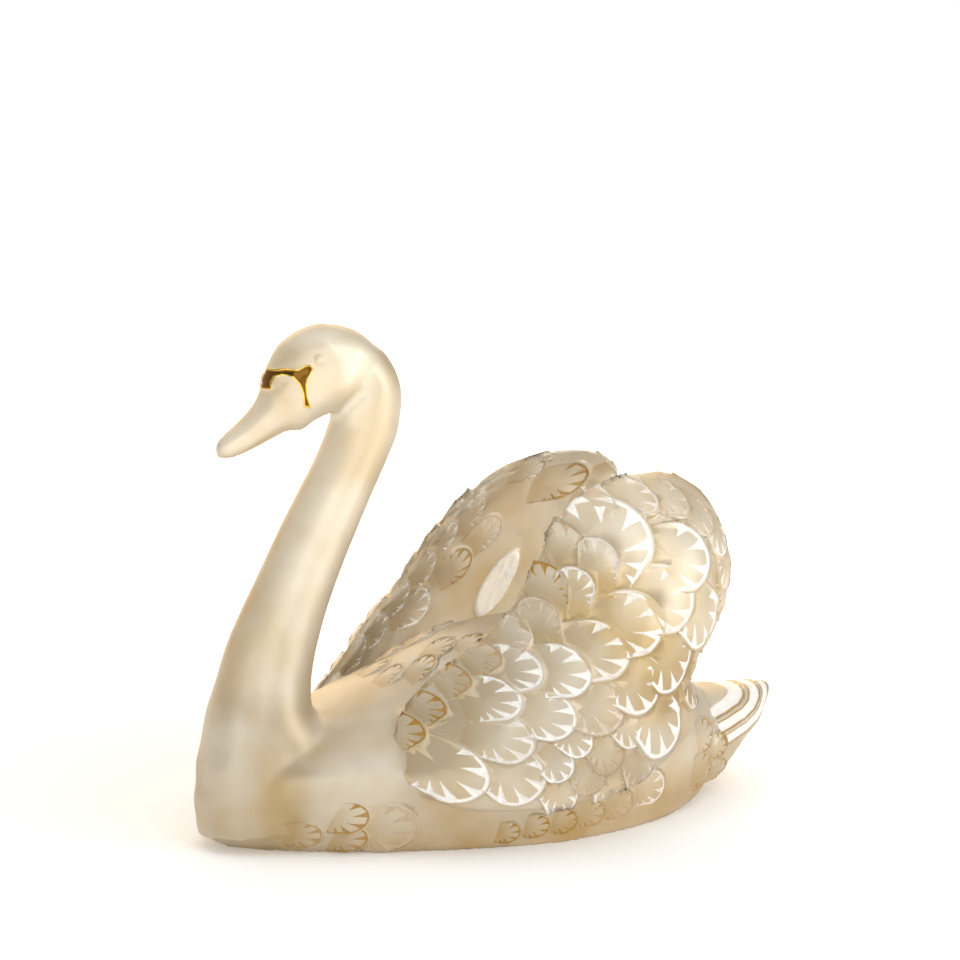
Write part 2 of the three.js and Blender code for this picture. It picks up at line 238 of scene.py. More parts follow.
def wing_point(share, z, face):
    """Point of a wing at a share s of the chord between its edges: the chord's point, moved sideways
    by 4s(1 - s) · bow ± half the thickness. That is rim · √(1 - (2s - 1)^6) plus
    swell · (4s(1 - s))^0.9, and grows with the chord up to full_chord."""
    share, z = np.broadcast_arrays(share, z)
    x0, y0, x1, y1, bow = np.moveaxis(between(wing_stations, z), -1, 0)
    cx, cy = x1 - x0, y1 - y0
    chord = np.hypot(cx, cy)
    size = np.minimum(1, chord / full_chord)
    arch = 4 * share * (1 - share)
    rim = wing_edge * size * np.sqrt(np.maximum(0, 1 - (2 * share - 1) ** 6))
    swell = (wing_body - wing_edge) * size * np.maximum(arch, 0) ** 0.9
    out = arch * bow + face * (rim + swell) / 2
    x, y = x0 + cx * share - cy / chord * out, y0 + cy * share + cx / chord * out
    return np.stack([x, y, z], axis=-1)


def wing_rings(levels, outer_steps, inner_steps):
    """Level sections from the lower edge up, at 0.7k + 0.15(1 - cos(pi · k)) of the height: out along
    the outer face and back along the inner one, with shares (1 - cos(t)) / 2."""
    k = np.linspace(0, 1, levels)
    z = wing_low + (wing_high - wing_low) * (0.7 * k + 0.15 * (1 - np.cos(math.pi * k)))
    there = (1 - np.cos(np.linspace(0, math.pi, outer_steps + 1))) / 2
    back = (1 + np.cos(np.linspace(0, math.pi, inner_steps + 1)[1:-1])) / 2
    return np.concatenate([
        wing_point(there[None], z[:, None], outer), wing_point(back[None], z[:, None], inner),
    ], axis=1)


blade = wing_rings(90, 60, 44)
forms += [closed_form("wing", blade), closed_form("wing", blade * [1, -1, 1])]

# One skin: molten crystal leaves no seams, so the forms are joined, and their joins and the breast
# are softened. The mould's own line round the breast was fire-polished away.
voxel = 1.5
base_height = 0.6 * voxel
join_rounds, breast_rounds, mark_rounds = 12, 260, 60  # of smoothing


def points_of(obj):
    """An object's points as an array, in millimetres."""
    values = np.empty(len(obj.data.vertices) * 3)
    obj.data.vertices.foreach_get("co", values)
    return values.reshape(-1, 3) / mm


def normals_of(obj):
    """The directions out of the skin at an object's points."""
    values = np.empty(len(obj.data.vertices) * 3)
    obj.data.vertices.foreach_get("normal", values)
    return values.reshape(-1, 3)


def move_points(obj, points):
    """Sets an object's points from an array in millimetres."""
    obj.data.vertices.foreach_set("co", (points * mm).ravel())
    obj.data.update()


def apply_modifier(obj, kind, **settings):
    """Adds a modifier with these settings and makes its result the object's own mesh."""
    modifier = obj.modifiers.new(kind, kind)
    for key, value in settings.items():
        setattr(modifier, key, value)
    evaluated = obj.evaluated_get(bpy.context.evaluated_depsgraph_get())
    mesh = bpy.data.meshes.new_from_object(evaluated)
    obj.modifiers.clear()
    obj.data = mesh


def soften(obj, rounds, keep):
    """Smoothing that doesn't shrink: p + 0.6 (mean of neighbours - p), then the same with -0.61, both
    times 1 - keep, which is how much of its own place each point keeps."""
    edges = np.empty(len(obj.data.edges) * 2, int)
    obj.data.edges.foreach_get("vertices", edges)
    a, b = edges.reshape(-1, 2).T
    points = points_of(obj)
    n = len(points)
    count = (np.bincount(a, minlength=n) + np.bincount(b, minlength=n))[:, None]
    free = (1 - keep)[:, None]
    for k in range(2 * rounds):
        total = np.stack([
            np.bincount(a, points[b, i], n) + np.bincount(b, points[a, i], n) for i in range(3)
        ], axis=-1)
        points = points + (0.6 if k % 2 == 0 else -0.61) * free * (total / count - points)
    move_points(obj, points)


with bpy.context.temp_override(active_object=forms[0], selected_editable_objects=forms):
    bpy.ops.object.join()
swan = forms[0]
apply_modifier(swan, "REMESH", mode="VOXEL", voxel_size=voxel * mm)
skin = points_of(swan)
base = skin[:, 2] < base_height
soften(swan, join_rounds, np.where(base, 1.0, 0.0))
# The breast is what lies ahead of x = -20 between the heights 8 and 92, with soft limits.
skin = points_of(swan)
fore = np.clip((-20 - skin[:, 0]) / 40, 0, 1)
breast = fore * np.clip((skin[:, 2] - 8) / 12, 0, 1) * np.clip((92 - skin[:, 2]) / 18, 0, 1)
soften(swan, breast_rounds, np.where(base, 1.0, 1 - breast))
skin = points_of(swan)
skin[:, 2] = np.where(base, 0.0, np.maximum(skin[:, 2], 0.0))
move_points(swan, skin)

# Breast: a soft valley runs down each side of the keel, with a round swelling behind it. The mould
# gives them to the same crystal, and no edge shows anywhere on them.
# Rows of breast_marks: x, z, radius, how far the skin rises.
breast_marks = [
    [-122, 44, 8, -1.6], [-119, 33, 8, -2.0], [-117, 21, 8, -1.7], [-103, 42, 14, 1.8],
    [-139, 30, 10, 1.0],
]
breast_end, breast_top = -70, 75


def marked(rows, first, second):
    """What marks add at places (first, second): the sum of rise · exp(-(distance / radius)²)."""
    a, b, radius, rise = np.array(rows, float).T
    away = (first[:, None] - a) ** 2 + (second[:, None] - b) ** 2
    return (rise * np.exp(-away / radius ** 2)).sum(axis=1)


skin, out = points_of(swan), normals_of(swan)
on_breast = (skin[:, 0] < breast_end) & (skin[:, 2] < breast_top)
rise = marked(breast_marks, skin[:, 0], skin[:, 2]) * on_breast * abs(out[:, 1]) ** 0.5
move_points(swan, skin + out * rise[:, None])
soften(swan, mark_rounds, np.where(base, 1.0, 1 - breast))

# Tail feathers: long nested blades that sweep from the tail's root round its end, one behind the
# other, each with a low crest. They are part of the mould's relief.
tail_spacing, tail_crest, tail_reach = 6.6, 0.5, 19.0  # apart, height, how far in the last lies
# The blades lie below the top, where x + slant · z is past the start.
tail_start, tail_slant, tail_top = 118, 0.35, 52
nowhere = -50.0  # depth given to points away from an outline
tail_outline = np.array([
    [60, 22], [106, 24], [117, 25.5], [128, 27.5], [137, 31], [144, 36], [148, 40], [150.5, 45],
    [151, 80], [60, 80],
], float)  # x and z of the outermost crest, closed above the tail


def depth_in(outline, at, above):
    """Distance to a closed outline's nearest edge, above 0 inside it, where a line drawn forward
    crosses the outline an odd number of times."""
    spot = np.stack([at, above], axis=-1)[:, None]
    start, end = outline[None], np.roll(outline, -1, axis=0)[None]
    edge = end - start
    share = np.clip(((spot - start) * edge).sum(-1) / (edge ** 2).sum(-1), 0, 1)
    distance = np.linalg.norm(spot - start - share[..., None] * edge, axis=-1).min(axis=1)
    passes = (start[..., 1] > spot[..., 1]) != (end[..., 1] > spot[..., 1])
    rise = np.where(edge[..., 1] == 0, 1, edge[..., 1])
    crossing = start[..., 0] + (spot[..., 1] - start[..., 1]) / rise * edge[..., 0]
    odd = (passes & (spot[..., 0] < crossing)).sum(axis=1) % 2
    return np.where(odd == 1, distance, -distance)


def tail_depth(points):
    """How deep points lie inside the outermost crest in the side view, or nowhere off the blades."""
    value = np.full(len(points), nowhere)
    along = points[:, 0] + tail_slant * points[:, 2]
    near = (along > tail_start) & (points[:, 2] < tail_top)
    value[near] = depth_in(tail_outline, points[near, 0], points[near, 2])
    return np.where(value > tail_reach, nowhere, value)


skin, out = points_of(swan), normals_of(swan)
deep = tail_depth(skin)
on_blades = deep > -1  # with the outer flank of the outermost crest
crest = tail_crest * np.cos(2 * math.pi * deep / tail_spacing) * on_blades * abs(out[:, 1]) ** 0.5
move_points(swan, skin + out * crest[:, None])

# Face: soft brows, cheeks and jaw, and a small pit for each nostril, all moulded in the crystal.
# Rows of face_marks: place along the head's axis, height above it, radius, how far the skin rises.
face_marks = [
    [3, -1.5, 7.5, 1.9], [7.2, 13.5, 5, -1.0], [1, 16.5, 4, 1.4], [3, -12, 2.6, -1.2],
    [-2, -10.6, 3, -1.4], [-8, -10.2, 3.4, -1.2], [25.5, 12.6, 1.9, -0.9], [29, 11, 1.9, -0.6],
    [26.7, -11, 3, 0.9], [14, 4, 5, -0.8],
]
head_low, head_end = 150, -40  # the head lies above the one and ahead of the other
kept_faces = 0.5  # share of its faces that the smooth skin keeps


def head_places(points):
    """Places of points along the head's axis and above it."""
    away = points - head_middle
    return away @ head_forward, away @ head_upward


skin, out = points_of(swan), normals_of(swan)
at, above = head_places(skin)
on_head = (skin[:, 2] > head_low) & (skin[:, 0] < head_end)
rise = marked(face_marks, at, above) * on_head * abs(out[:, 1]) ** 0.5
move_points(swan, skin + out * rise[:, None])
smooth_parts = swan.vertex_groups.new(name="smooth_parts")
smooth_parts.add(np.flatnonzero(~on_head & ~on_blades).tolist(), 1.0, "ADD")
apply_modifier(
    swan, "DECIMATE", decimate_type="COLLAPSE", ratio=kept_faces, vertex_group="smooth_parts",
)
swan.vertex_groups.clear()

# Feathers: overlapping tongues in low relief, pressed with the rest. Each has a rim round its tip,
# and inside the rim a wheel-cut, polished crescent with teeth that run back towards its root.
# Rows of the tables: x and z of the middle in the side view, the way the tip points in degrees above
# +X, half the width, how far it stands out, how long it is and how much painted amber reflection its
# cut shows.
front_lobes = [
    [12, 135, 78, 7.5, 3.8, 27, 0.75], [0, 119, 72, 7, 3.2, 24, 0.6], [21, 129, 66, 7.5, 3.9, 26, 0.2],
    [-7, 105, 76, 7, 3.0, 22, 0.6], [9, 118, 60, 7, 3.4, 22, 0.1],
]
rim_feathers = [
    [29, 153, 12, 8, 2, 14, 0.1], [47, 153, 0, 8, 2, 14, 0.1], [63, 151, -18, 8, 2, 14, 0.1],
    [76, 143, -48, 8, 2, 16, 0.1], [84, 133, -72, 8, 2, 16, 0.1], [87, 118, -86, 8, 2, 18, 0.3],
    [86, 103, -96, 8, 2, 18, 0.5], [80, 89, -100, 8, 2, 18, 0.3], [73, 76, -98, 7.5, 2, 16, 0.6],
    [68, 64, -90, 7.5, 2, 16, 0.3],
]
shoulder_feathers = [
    [-20, 98, 40, 7.5, 2, 13, 0.4], [-32, 88, 30, 6.5, 2, 11, 0.8], [-44, 78, 32, 6, 2, 10, 0.9],
    [-55, 66, 31, 6, 2, 10, 0.8], [-65, 56, 31, 6.5, 2, 11, 0.6],
]
inner_feathers = [
    [14, 134, 74, 9.5, 1.8, 20, 0.3], [1, 122, 62, 9, 1.8, 18, 0], [-9, 107, 50, 9.5, 1.8, 18, 0],
    [30, 120, 48, 9, 1.8, 18, 0.1], [16, 104, 38, 9.5, 1.8, 18, 0.9], [-24, 94, 42, 9.5, 1.8, 18, 0],
    [-8, 86, 10, 11.5, 1.8, 20, 0], [-35, 80, 18, 9.5, 1.8, 17, 0], [-50, 72, 30, 8.5, 1.8, 15, 0],
    [66, 145, 10, 11, 1.8, 24, 0.9], [44, 154, 10, 6.5, 1.8, 18, 0.5], [85, 143, -40, 8, 1.8, 16, 0],
    [84, 126, -80, 9, 1.8, 16, 0], [82, 108, -88, 9, 1.8, 16, 0],
]
hull_feathers = [
    [-109, 10, 0, 7, 0.9, 11, 0.9], [-93, 19, 0, 8.5, 0.9, 13, 0.8], [-91, 8, 0, 7.5, 0.9, 12, 1],
    [-77, 13, 0, 13, 0.9, 18, 0.7], [-23, 8, 0, 5.5, 0.9, 9, 1], [-10, 10, 0, 6, 0.9, 10, 0.9],
    [3, 11, 0, 6.5, 0.9, 10, 1], [17, 13, 0, 7, 0.9, 11, 0.9], [32, 15, 0, 7.5, 0.9, 12, 0.8],
    [50, 20, 0, 9, 0.9, 14, 0.3], [88, 19, 5, 9, 0.9, 14, 0.9], [91, 35, 12, 8, 0.9, 12, 0.9],
]
back_feathers = [
    [-42, -17, 12, 6.5, 1.6, 14, 0.9], [-30, -11, 16, 6.5, 1.6, 15, 0.85],
    [-17, -18, 10, 6.5, 1.6, 13, 0.8], [-54, -8, 14, 6, 1.4, 13, 0.7],
]
tail_feathers = [[106, 14, 20, 6, 1, 12, 0.9], [104, 27, 14, 6, 1, 12, 0.9]]
# Rows of wing_rows, round the shoulder: radius and half width of the feathers there.
shoulder = (-38.0, 86.0)
wing_rows = [[15, 9.5], [31, 11.5], [48, 13.5], [66, 15], [85, 16], [104, 15.5]]
# Rows of lie: height on the wing, and the way the tips point at its front, middle and rear.
lie = [
    [25, -45, -55, -62], [45, -8, -45, -62], [65, 22, -28, -68], [85, 28, -16, -80], [105, 48, 0, -90],
    [125, 64, 12, -88], [142, 55, 16, -70], [156, 25, 0, -40],
]
rows_start, rows_end = -2.4, 1.2  # ways from the shoulder, in radians
row_spacing = 1.8  # of the half width
rear_bare = 0.84  # share of the wing's length behind which the rim's feathers lie
paired_below, single_before = 54, -20  # narrow pairs lie below the one and behind the other
rim_share = 0.10  # the plain rim's share of the half width
tip_length = 1.15  # of the half width
cut_share = 0.4  # of a feather's rise
sunk_root = 3.0  # how deep the forms start under the skin
ends_bare = -9.0  # pattern coordinate of skin without a feather
window = [42, 91, 58, 19, 6.5]  # polished lens in the wing: x, z, way, half length, half width


def on_wing(x, z, lift, face):
    """Points of a wing's face given in the side view and moved out of it by a height: the share s at
    which wing_point has this x is found by halving, and out is d/dz × d/ds of wing_point."""
    z = np.clip(z, wing_low + 0.5, wing_high - 0.5)
    low, high = np.zeros_like(z), np.ones_like(z)
    for _ in range(16):
        mid = (low + high) / 2
        before = wing_point(mid, z, face)[..., 0] < x
        low, high = np.where(before, mid, low), np.where(before, high, mid)
    share = np.clip((low + high) / 2, 0.01, 0.99)
    along = wing_point(share + 0.01, z, face) - wing_point(share - 0.01, z, face)
    up = wing_point(share, z + 0.5, face) - wing_point(share, z - 0.5, face)
    return wing_point(share, z, face) + unit(np.cross(up, along)) * face * lift[..., None]


def raised(place, x, z, lift):
    """Points of a surface y = f(x, z), moved out of it along d/dz × d/dx by a height."""
    across = np.cross(place(x, z + 0.4) - place(x, z - 0.4), place(x + 0.4, z) - place(x - 0.4, z))
    return place(x, z) + unit(across) * lift[..., None]


def on_hull(x, z, lift, face):
    """The same for the body's right side: y = half width · (1 - c²)^(q/2), with c the p-th root of
    the share of the reach."""
    def place(x, z):
        fore, aft, half, widest = np.moveaxis(between(hull_levels, z), -1, 0)
        p, q = hull_powers(z)
        ahead = x < widest
        t = np.where(ahead, (widest - x) / (widest - fore), (x - widest) / (aft - widest))
        t = np.clip(t, 0, 0.999)
        c = np.where(ahead, t ** (1 / p), t)
        return np.stack([x, half * (1 - c ** 2) ** (np.where(ahead, q, 1) / 2), z], axis=-1)
    return raised(place, x, np.maximum(z, 1.0), lift)


def on_tail(x, z, lift, face):
    """The same for the tail's right side: y = half width · (1 - t^p)^(1/p), with t the height above
    the middle line over the half height."""
    def place(x, z):
        middle, tall, half = np.moveaxis(between(tail_stations, x), -1, 0)
        t = np.clip(abs(z - middle) / tall, 0, 0.98)
        return np.stack([x, half * (1 - t ** tail_power) ** (1 / tail_power), z], axis=-1)
    return raised(place, x, z, lift)


def on_back(x, y, lift, face):
    """The same for the body's top, given from above: the height z at which the half width is |y| is
    found by halving, because the body narrows upwards."""
    def place(x, y):
        low, high = np.full_like(x, 30.0), np.full_like(x, hull_top)
        for _ in range(16):
            z = (low + high) / 2
            fore, aft, half, widest = np.moveaxis(between(hull_levels, z), -1, 0)
            t = np.where(x < widest, (widest - x) / (widest - fore), (x - widest) / (aft - widest))
            wide = half * np.sqrt(1 - np.clip(t, 0, 1) ** 2) > abs(y)
            low, high = np.where(wide, z, low), np.where(wide, high, z)
        return np.stack([x, -y, z], axis=-1)
    across = np.cross(place(x + 0.6, y) - place(x - 0.6, y), place(x, y - 0.6) - place(x, y + 0.6))
    return place(x, y) + unit(across) * lift[..., None]


def laid(surface, face, x, z, heading, u, v, lift):
    """Rings of places u along and v across a way on a surface: x + u cos - v sin, z + u sin + v cos."""
    c, s = math.cos(math.radians(heading)), math.sin(math.radians(heading))
    return surface(x + u * c - v * s, z + u * s + v * c, lift, face)


def feather(surface, face, x, z, heading, half, rise, long, painted_amber):
    """One feather: (rings, pattern coordinates, lot). Its outline is (tip cos t, sin t) · half round
    the tip and runs back to the root, a quarter narrower there. Smaller outlines lead to its middle.
    Its height is rise · climb^1.3, from 0 at the root, times 1 - lean · v, which lays its lower side
    over the next feather, less the cut, which is deepest at the rim. The lot is how much painted amber
    reflection the cut shows and a number of the feather's own."""
    t = np.linspace(-math.pi / 2, math.pi / 2, 19)
    flank_u = np.linspace(-long, 0, 5)[:-1]
    flank_v = half * (1 + 0.25 * flank_u / long)
    u = np.concatenate([flank_u, tip_length * half * np.cos(t), flank_u[::-1], np.full(3, -long)])
    v = np.concatenate([-flank_v, half * np.sin(t), flank_v[::-1], half * np.array([0.4, 0, -0.4])])
    shrink = np.array([1.0, 1.0, 0.95, 0.9, 0.85, 0.72, 0.45, 0.02])[:, None]
    u, v = shrink * (u + 0.2 * long) - 0.2 * long, shrink * v
    depth = 1 - np.hypot(np.maximum(u, 0) / tip_length, v) / half
    climb = np.clip(1 + u / long, 0, 1) ** 1.3
    inside = depth - rim_share
    cut = np.where(inside > 0.01, np.clip(1 - inside / 0.6, 0, 1), 0)
    cut *= np.clip((u / half + 0.9) / 0.9, 0, 1)
    lean = 0.3 * (1 - np.clip((heading - 30) / 30, 0, 1))
    lift = rise * climb * (1 - lean * v / half) * np.clip(depth / 0.08, 0, 1) ** 0.5
    lift -= 0.5 * (1 - climb) + cut * rise * cut_share
    lift[0] = -sunk_root
    pattern = np.stack([np.where(u > 0, u / tip_length, u), v], axis=-1) / half
    own = (x * 0.618 + z * 0.377) % 1
    lot = (min(painted_amber + 0.8 * own ** 4, 1), own)
    return laid(surface, face, x, z, heading, u, v, lift), pattern, lot


def lens(surface, face, x, z, heading, long, wide):
    """The polished window: ellipses (long cos t, wide sin t) that shrink to the middle, on a face
    dished by 0.8 · (1 - r²) and broken by long facets, 1.4 times the distance of 1.6 v / wide +
    sin(u / 3) / 4 from the nearest half. Its pattern coordinates read as all cut."""
    t = np.linspace(0, 2 * math.pi, 40, endpoint=False)[None]
    r = np.array([1.0, 1.0, 0.94, 0.8, 0.6, 0.4, 0.2, 0.02])[:, None]
    u, v = long * r * np.cos(t), wide * r * np.sin(t)
    facets = abs((1.6 * v / wide + 0.25 * np.sin(u / 3)) % 1 - 0.5)
    lift = 1.8 - 0.8 * (1 - r ** 2) - 1.4 * facets * (r < 0.95)
    lift[0], lift[1] = -sunk_root, 0.2
    pattern = np.stack([0.85 + 0 * u, 0 * u], axis=-1)
    return laid(surface, face, x, z, heading, u, v, lift), pattern, (0, 0)


feathers = [feather(on_wing, outer, *row) for row in front_lobes + rim_feathers + shoulder_feathers]
feathers += [feather(on_wing, inner, *row) for row in inner_feathers]
feathers += [feather(on_hull, outer, *row) for row in hull_feathers]
feathers += [feather(on_tail, outer, *row) for row in tail_feathers]
feathers += [feather(on_back, outer, *row) for row in back_feathers]
feathers.append(lens(on_wing, inner, *window))
for number, (radius, half) in enumerate(wing_rows):
    turn = row_spacing * half / radius
    for way in rows_start + turn * (np.arange(20) + 0.5 * (number % 2)):
        x, z = shoulder[0] + radius * math.cos(way), shoulder[1] + radius * math.sin(way)
        front, rear = wing_point(np.array([0.0, 1.0]), z, outer)[:, 0]
        share = (x - front) / (rear - front)
        front_bare = 0.1 if z < 100 else 0.24
        if way > rows_end or not wing_low + 6 < z < wing_high - 12:
            continue
        if not front_bare < share < rear_bare:
            continue
        near, middle, far = between(lie, z)
        heading = near * (1 - share) * (1 - 2 * share) + 4 * middle * share * (1 - share)
        heading = float(heading + far * share * (2 * share - 1))
        single = z > paired_below or x < single_before
        for aside, size in [(0.0, 1.0)] if single else [(-0.5, 0.6), (0.5, 0.6)]:
            slant = math.radians(heading)
            px, pz = x - aside * half * math.sin(slant), z + aside * half * math.cos(slant)
            wide, rise, long = half * size, 1.2 + 0.1 * half * size, 1.7 * half * size
            feathers.append(feather(on_wing, outer, px, pz, heading, wide, rise, long, 0.0))


def set_uv(obj, name, values):
    """Writes a UV map of an object's corners."""
    obj.data.uv_layers.new(name=name)
    obj.data.uv_layers[name].data.foreach_set("uv", np.asarray(values, float).ravel())


def feather_object(rings, pattern, lot, side):
    """A feather's closed form on the right (1) or left (-1) side, with its pattern on its corners."""
    obj = closed_form("feather", rings * [1, side, 1])
    corner = np.empty(len(obj.data.loops), int)
    obj.data.loops.foreach_get("vertex_index", corner)
    places = np.vstack([pattern.reshape(-1, 2), [[ends_bare, 0.0]], pattern[-1].mean(axis=0)])
    set_uv(obj, "pattern", places[corner])
    set_uv(obj, "lot", np.tile(lot, (len(corner), 1)))
    return obj


added = [feather_object(*made, side) for side in (1, -1) for made in feathers]

# Eyes: small round beads of the same crystal, moulded half sunk in the sides of the head. They are
# left satin and carry no colour.
eye_place = np.array([-90.4, 14.2, 219.2])
eye_radii = np.array([2.7, 2.0, 2.7])
turn, tilt = np.meshgrid(
    np.linspace(0, 2 * math.pi, 28, endpoint=False), np.linspace(0.06, math.pi - 0.06, 16),
)
ball = np.stack([np.cos(turn) * np.sin(tilt), np.cos(tilt), np.sin(turn) * np.sin(tilt)], axis=-1)
bead = eye_place + ball * eye_radii
bare_pattern = np.full(bead.shape[:2] + (2,), [ends_bare, 0.0])
added += [feather_object(bead, bare_pattern, (0, 0), side) for side in (1, -1)]

set_uv(swan, "pattern", np.tile([ends_bare, 0.0], (len(swan.data.loops), 1)))
set_uv(swan, "lot", np.zeros((len(swan.data.loops), 2)))
reliefs = bpy.data.collections.new("reliefs")
bpy.context.scene.collection.children.link(reliefs)
for obj in added:
    bpy.context.collection.objects.unlink(obj)
    reliefs.objects.link(obj)
apply_modifier(
    swan, "BOOLEAN", operation="UNION", operand_type="COLLECTION", collection=reliefs,
    solver="MANIFOLD",
)
for obj in added:
    bpy.data.objects.remove(obj)
bpy.data.collections.remove(reliefs)

# Gold: a thin fired band of bright gold over the knob of the bill and down behind each corner of the
# mouth, with a raised edge where it was brushed on. It is colour on the crystal, not a piece.
# Rows of gold_outline: place along the head's axis and height above it.
gold_outline = np.array([
    [11.9, 13.9], [11.7, 11.8], [15.7, 9.3], [17.7, 7.1], [19.8, 2.1], [20.5, -4.0], [23.4, -1.6],
    [21.4, 4.0], [20.8, 8.8], [21.5, 12.7], [24.1, 15.0], [26.8, 15.2], [28.9, 13.8], [30.4, 11.4],
    [33.5, 11.6], [32.0, 16.5], [27.4, 19.5], [25.0, 18.0], [21.5, 17.2], [17.8, 14.6], [14.3, 14.8],
])
fine_band = 2.5  # distance from the outline within which the mesh is made finer


def gold_depth(points):
    """How deep points lie inside the gold's outline, in millimetres, or nowhere far from it."""
    at, above = head_places(points)
    value = np.full(len(points), nowhere)
    near = (points[:, 2] > 170) & (at > 5) & (at < 40)
    value[near] = depth_in(gold_outline, at[near], above[near])
    return value


deep = gold_depth(points_of(swan))
ends = np.empty(len(swan.data.edges) * 2, int)
swan.data.edges.foreach_get("vertices", ends)
close = np.flatnonzero(abs(deep[ends.reshape(-1, 2)]).max(axis=1) < fine_band)
work = bmesh.new()
work.from_mesh(swan.data)
work.edges.ensure_lookup_table()
close_edges = [work.edges[i] for i in close.tolist()]
bmesh.ops.subdivide_edges(work, edges=close_edges, cuts=2, use_grid_fill=True)
bmesh.ops.triangulate(work, faces=work.faces[:])
work.to_mesh(swan.data)
work.free()
swan.data.validate()
skin = points_of(swan)
deep = gold_depth(skin)
ridge = 0.35 * np.exp(-((deep - 0.3) / 0.45) ** 2) - 0.15 * (deep > 0.8)
skin = skin + normals_of(swan) * ridge[:, None]
swan.data.attributes.new("gold", "FLOAT", "POINT").data.foreach_set("value", deep)
swan.data.attributes.new("tail", "FLOAT", "POINT").data.foreach_set("value", tail_depth(skin))
# Rows of the painted shade table: x, z, radius and how strongly painted shade, a darker amber, is laid
# into the satin's colour there: in the valleys beside the keel, along the bottom and on the wings'
# outer faces.
painted_shade_places = [
    [-124, 46, 10, 0.45], [-119, 33, 11, 0.55], [-117, 17, 11, 0.5], [-142, 20, 14, 0.3],
    [-60, 2, 16, 0.6], [-30, 2, 16, 0.6], [0, 2, 16, 0.6], [30, 2, 16, 0.6], [60, 5, 16, 0.6],
    [-90, 2, 14, 0.5], [-115, 2, 12, 0.4], [88, 12, 16, 0.5], [30, 100, 30, 0.5], [55, 70, 26, 0.4],
]
painted_shade = np.clip(marked(painted_shade_places, skin[:, 0], skin[:, 2]), 0, 1)
outwards = np.sign(skin[:, 1]) * normals_of(swan)[:, 1] > 0
painted_shade = np.where((skin[:, 2] > 60) & ~outwards, 0, painted_shade)
swan.data.attributes.new("painted_shade", "FLOAT", "POINT").data.foreach_set("value", painted_shade)

low, high = (np.array(corner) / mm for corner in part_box("swan"))
drawn_low, drawn_high = skin.min(axis=0), skin.max(axis=0)
move_points(swan, low + (skin - drawn_low) * (high - low) / (drawn_high - drawn_low))
swan.data.polygons.foreach_set("use_smooth", np.ones(len(swan.data.polygons), bool))
print("swan triangles", len(swan.data.polygons))

# Finish of the whole swan: lead crystal, acid-etched to a warm satin that scatters light like mother of
# pearl, with painted shade laid into it, wheel-cut and polished in the feathers, where the cuts' flash
# and amber are painted into their colour as glint and reflection, and fired with bright gold on the
# bill, with a painted highlight and a painted dark reflection.
crystal_colour, shade_colour, lustre_colour = "#E8E1D0", "#C8AC72", "#C08F45"
cut_painted_glint_colour, cut_painted_amber_colour = "#FFFEFA", "#AF8430"
# The gold's bright colour is a painted highlight for its rim, and its dark colour is a painted dark
# reflection for its middle.
gold_painted_highlight_colour, gold_painted_dark_colour = "#E9C25E", "#6E4D1E"


def linear(code):
    """sRGB hex colour as linear RGBA: c / 12.92 up to 0.04045, else ((c + 0.055) / 1.055)^2.4."""
    rgb = np.array([int(code[i : i + 2], 16) / 255 for i in (1, 3, 5)])
    return (*np.where(rgb <= 0.04045, rgb / 12.92, ((rgb + 0.055) / 1.055) ** 2.4), 1.0)


def node(tree, kind, sockets=None, **settings):
    """Adds a node, sets its properties, and links or sets its inputs, given by name or number."""
    made = tree.nodes.new(kind)
    for key, value in settings.items():
        setattr(made, key, value)
    for key, value in (sockets or {}).items():
        if isinstance(value, bpy.types.NodeSocket):
            tree.links.new(value, made.inputs[key])
        else:
            made.inputs[key].default_value = value
    return made


crystal = bpy.data.materials.new("satin_and_cut_lead_crystal")
crystal.use_nodes = True
tree = crystal.node_tree
tree.nodes.clear()
place = node(tree, "ShaderNodeTexCoord").outputs["Object"]
pattern = node(tree, "ShaderNodeUVMap", uv_map="pattern").outputs["UV"]
lot = node(tree, "ShaderNodeUVMap", uv_map="lot").outputs["UV"]
lot_parts = node(tree, "ShaderNodeSeparateXYZ", {0: lot})
painted_amber, own = lot_parts.outputs["X"], lot_parts.outputs["Y"]
split = node(tree, "ShaderNodeSeparateXYZ", {0: pattern})
u, v = split.outputs["X"], split.outputs["Y"]

# The crescent starts inside the rim. Its width is a narrow band, and a long tooth at even turns
# round a point near the root.
ahead = node(tree, "ShaderNodeVectorMath", {0: pattern, 1: (0, -9, 0)}, operation="MAXIMUM")
outward = node(tree, "ShaderNodeVectorMath", {0: ahead.outputs[0]}, operation="LENGTH").outputs["Value"]
inside = node(tree, "ShaderNodeMath", {0: 1 - rim_share, 1: outward}, operation="SUBTRACT").outputs[0]
from_root = node(tree, "ShaderNodeMath", {0: u, 1: 0.7}, operation="ADD").outputs[0]
swing = node(tree, "ShaderNodeMath", {0: v, 1: from_root}, operation="ARCTAN2").outputs[0]
turned = node(tree, "ShaderNodeMath", {0: swing, 1: 2.1, 2: own}, operation="MULTIPLY_ADD").outputs[0]
wave = node(tree, "ShaderNodeMath", {0: turned, 1: 0.5}, operation="PINGPONG").outputs[0]
tooth = node(tree, "ShaderNodeMapRange", {"Value": wave, 1: 0.0, 2: 0.22, 3: 1.0, 4: 0.0}).outputs[0]
lower = node(tree, "ShaderNodeMath", {0: v, 1: -0.45, 2: u}, operation="MULTIPLY_ADD").outputs[0]
tipward = node(tree, "ShaderNodeMapRange", {"Value": lower, 1: -0.7, 2: 0.1, 3: 0.0, 4: 1.0}).outputs[0]
width = node(tree, "ShaderNodeMath", {0: tooth, 1: 0.62, 2: 0.13}, operation="MULTIPLY_ADD").outputs[0]
reach = node(tree, "ShaderNodeMath", {0: width, 1: tipward}, operation="MULTIPLY").outputs[0]
left = node(tree, "ShaderNodeMath", {0: reach, 1: inside}, operation="SUBTRACT").outputs[0]
